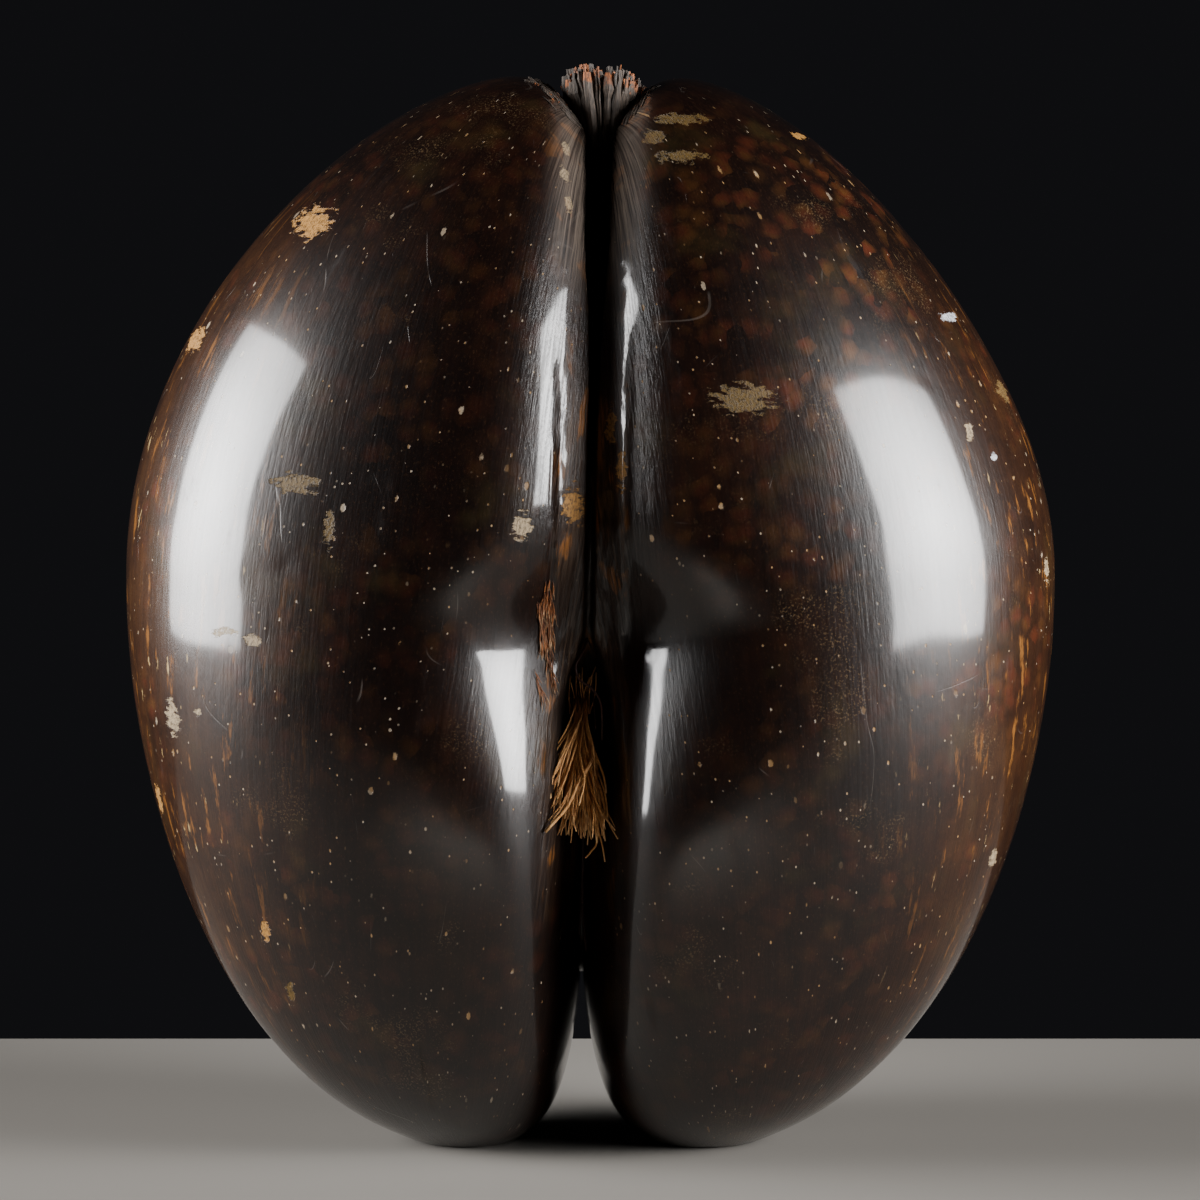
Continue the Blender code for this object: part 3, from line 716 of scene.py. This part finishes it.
# A few fibres stand out: one thick one across the front, and long ones past the others' ends.
for points, thick in (
        (((-0.0016, -0.0570, 0.1275), (0.0009, -0.0640, 0.1185), (-0.0031, -0.0690, 0.1112),
          (-0.0064, -0.0710, 0.1045), (-0.0124, -0.0725, 0.0977)), 0.00062),
        (((-0.0041, -0.0560, 0.1300), (-0.0034, -0.0600, 0.1228), (-0.0024, -0.0655, 0.1161),
          (-0.0016, -0.0700, 0.1112), (-0.0031, -0.0715, 0.1050)), 0.00036),
        (((-0.0010, -0.0560, 0.1275), (0.0010, -0.0610, 0.1170), (0.0039, -0.0660, 0.1088),
          (0.0047, -0.0680, 0.1040), (0.0049, -0.0680, 0.1002)), 0.00030),
        (((-0.0010, -0.0560, 0.1270), (0.0016, -0.0630, 0.1100), (0.0024, -0.0660, 0.0980),
          (0.0035, -0.0665, 0.0930), (0.0042, -0.0665, 0.0886)), 0.00030),
        (((-0.0020, -0.0560, 0.1270), (0.0012, -0.0640, 0.1080), (0.0021, -0.0665, 0.0952),
          (0.0002, -0.0672, 0.0915), (-0.0013, -0.0675, 0.0898)), 0.00032),
        (((-0.0040, -0.0560, 0.1275), (-0.0070, -0.0625, 0.1180), (-0.0100, -0.0670, 0.1130),
          (-0.0131, -0.0690, 0.1098)), 0.00034),
        (((-0.0042, -0.0560, 0.1270), (-0.0090, -0.0630, 0.1140), (-0.0128, -0.0670, 0.1075),
          (-0.0152, -0.0680, 0.1045)), 0.00028),
        (((-0.0040, -0.0560, 0.1270), (-0.0104, -0.0650, 0.1080), (-0.0135, -0.0670, 0.1010),
          (-0.0152, -0.0675, 0.0985)), 0.00026)):
    path = eased([Vector(point) for point in points], 16)
    strand(tuft, path, [thick * (1 - 0.25 * step / 15) for step in range(16)], draw.uniform(0, 0.3), 6)
fibre_tuft = make_piece("fibre_brush", tuft)
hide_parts("fibre_tuft")
fibre_finish(fibre_tuft, (0.260, 0.092, 0.022), (0.78, 0.400, 0.130), (0.86, 0.54, 0.24),
             (0.340, 0.130, 0.034), 0.45)

# Where the seam's left margin has torn away at the hollow's rim it leaves a strip of raw, orange
# fibre: splinters that lie along the rim and come loose at their lower ends.
draw = random.Random(31)
strip = new_fibres()
# Each bundle: where it starts and ends, its half width there, how many splinters, how loose.
TORN_BUNDLES = (
    ((-0.0112, 0.1680), (-0.0124, 0.1530), (0.0012, 0.0024), 34, 0.0),
    ((-0.0124, 0.1625), (-0.0118, 0.1450), (0.0026, 0.0012), 84, 0.3),
    ((-0.0122, 0.1500), (-0.0098, 0.1350), (0.0010, 0.0006), 20, 0.9),
    ((-0.0160, 0.1430), (-0.0116, 0.1300), (0.0004, 0.0009), 14, 0.7),
)
for start, end, widths, count, loose in TORN_BUNDLES:
    for index in range(count):
        begin = draw.random() * 0.70
        until = min(1.0, begin + draw.uniform(0.20, 0.50))
        aside = draw.uniform(-1, 1)
        lifts, stray = draw.uniform(0.0, 0.0006), draw.gauss(0, 0.0006)
        away = loose * draw.random() ** 2
        path = []
        for step in range(9):
            share = begin + (until - begin) * step / 8
            width = widths[0] + (widths[1] - widths[0]) * share
            x = start[0] + (end[0] - start[0]) * share + aside * width + stray * step / 8
            x += 0.0003 * noise.noise(Vector((index * 2.7, share * 5, count)))
            z = start[1] + (end[1] - start[1]) * share
            off = Vector((0.3 * aside, -1, 0)) * 0.0030 * away * (step / 8) ** 2
            path.append(front(x, z, lifts) + off)
        thick = draw.uniform(0.00008, 0.00026)
        radii = [thick * part for part in (0.3, 0.8, 1.0, 1.0, 0.9, 0.8, 0.7, 0.5, 0.3)]
        strand(strip, path, radii, draw.random(), 5)
torn_strip = make_piece("torn_margin_fibres", strip)
fibre_finish(torn_strip, (0.24, 0.075, 0.018), (0.50, 0.170, 0.040), (0.62, 0.38, 0.20),
             (0.050, 0.015, 0.007), 0.50, 0.70, 1.2)

# Old strands of the seed's cord cling inside the hollow and down the cleft's floor, dark red-brown.
draw = random.Random(47)
cling = new_fibres()
CLEFT_STRANDS = 26
for points, thick in (
        (((-0.0005, -0.0560, 0.1510), (-0.0022, -0.0590, 0.1465), (-0.0040, -0.0600, 0.1428),
          (-0.0030, -0.0610, 0.1392), (0.0007, -0.0615, 0.1365), (0.0031, -0.0610, 0.1320),
          (0.0034, -0.0600, 0.1220)), 0.00042),
        (((0.0008, -0.0520, 0.1400), (0.0010, -0.0560, 0.1330), (0.0016, -0.0580, 0.1250)), 0.00034),
        (((-0.0060, -0.0520, 0.1400), (-0.0052, -0.0570, 0.1330), (-0.0048, -0.0590, 0.1260)), 0.00026),
        (((-0.0030, -0.0520, 0.1400), (-0.0036, -0.0575, 0.1340), (-0.0034, -0.0580, 0.1280)), 0.00026)):
    path = eased([Vector(point) for point in points], 20)
    strand(cling, path, [thick * (1 - 0.3 * step / 19) for step in range(20)], draw.random(), 6)
for index in range(CLEFT_STRANDS):
    top = 0.1120 - 0.0018 * index * draw.uniform(0.6, 1.0)
    x = -0.0022 + draw.uniform(-0.0040, 0.0035)
    length = draw.uniform(0.010, 0.020)
    bend = draw.gauss(0, 0.0008)
    path = []
    for step in range(9):
        share = step / 8
        point = Vector((x + bend * math.sin(3.1 * share), -0.0400, top - length * share))
        path.append(lie(point, 0.0002))
    thick = draw.uniform(0.00016, 0.00030)
    strand(cling, path, [thick * (1 - 0.4 * step / 8) for step in range(9)], draw.random(), 5)
clinging_strands = make_piece("clinging_strands", cling)
fibre_finish(clinging_strands, (0.050, 0.012, 0.006), (0.075, 0.018, 0.009), (0.10, 0.035, 0.016),
             (0.016, 0.005, 0.003), 0.45)

# What it stands on for the picture: a plain pale table top with a dark room behind it. Two tall
# soft boxes stand at the sides, and a third small one lights the table in front of the nut.
TABLE_FRONT, TABLE_BACK, TABLE_HALF_WIDTH = -0.95, 0.175, 1.10
table = bmesh.new()
bmesh.ops.create_grid(table, x_segments=1, y_segments=1, size=1.0)
bmesh.ops.scale(table, vec=(TABLE_HALF_WIDTH, (TABLE_BACK - TABLE_FRONT) / 2, 1), verts=table.verts)
bmesh.ops.translate(table, vec=(0, (TABLE_BACK + TABLE_FRONT) / 2, 0), verts=table.verts)
table_mesh = bpy.data.meshes.new("studio_floor")
table.to_mesh(table_mesh)
table.free()
studio_floor = bpy.data.objects.new("studio_floor", table_mesh)
bpy.context.scene.collection.objects.link(studio_floor)
paper = Finish("studio_floor")
paper.give(studio_floor, Base_Color=(0.215, 0.198, 0.176), Roughness=0.9)


def soft_box(name, place, aim, size, power, spread):
    """A rectangular studio light of a width and height, aimed at a point."""
    light = bpy.data.lights.new(name, "AREA")
    light.shape = "RECTANGLE"
    light.size, light.size_y = size
    light.energy, light.spread = power, math.radians(spread)
    lamp = bpy.data.objects.new(name, light)
    lamp.location = place
    lamp.rotation_euler = (Vector(aim) - Vector(place)).to_track_quat("-Z", "Y").to_euler()
    bpy.context.scene.collection.objects.link(lamp)


soft_box("left_box", (-0.98, -0.06, 0.40), (-0.06, -0.03, 0.22), (0.58, 0.66), 5.6, 60)
soft_box("right_box", (0.94, -0.32, 0.37), (0.06, -0.04, 0.22), (0.60, 0.60), 5.6, 60)
soft_box("table_light", (0, -0.32, 0.90), (0, -0.32, 0), (0.26, 0.14), 0.40, 14)
world = bpy.data.worlds.new("studio")
bpy.context.scene.world = world
world.use_nodes = True
world.node_tree.nodes["Background"].inputs["Color"].default_value = (0.007, 0.007, 0.008, 1)

# Photo: 1200 px across, 0.2914 mm each at the nut; the eye is a little above its middle.
PICTURE_WIDTH = 0.3515
CAMERA_DISTANCE = 1.30
CAMERA_RISE = math.radians(3.5)
AIM = Vector((0.0028, 0, 0.1577))
camera_data = bpy.data.cameras.new("camera")
camera = bpy.data.objects.new("camera", camera_data)
bpy.context.scene.collection.objects.link(camera)
back = Vector((0, -math.cos(CAMERA_RISE), math.sin(CAMERA_RISE)))
camera.location = AIM + back * CAMERA_DISTANCE
camera.rotation_euler = (-back).to_track_quat("-Z", "Y").to_euler()
camera_data.sensor_width = 36
camera_data.lens = 36 * CAMERA_DISTANCE / PICTURE_WIDTH
bpy.context.scene.camera = camera
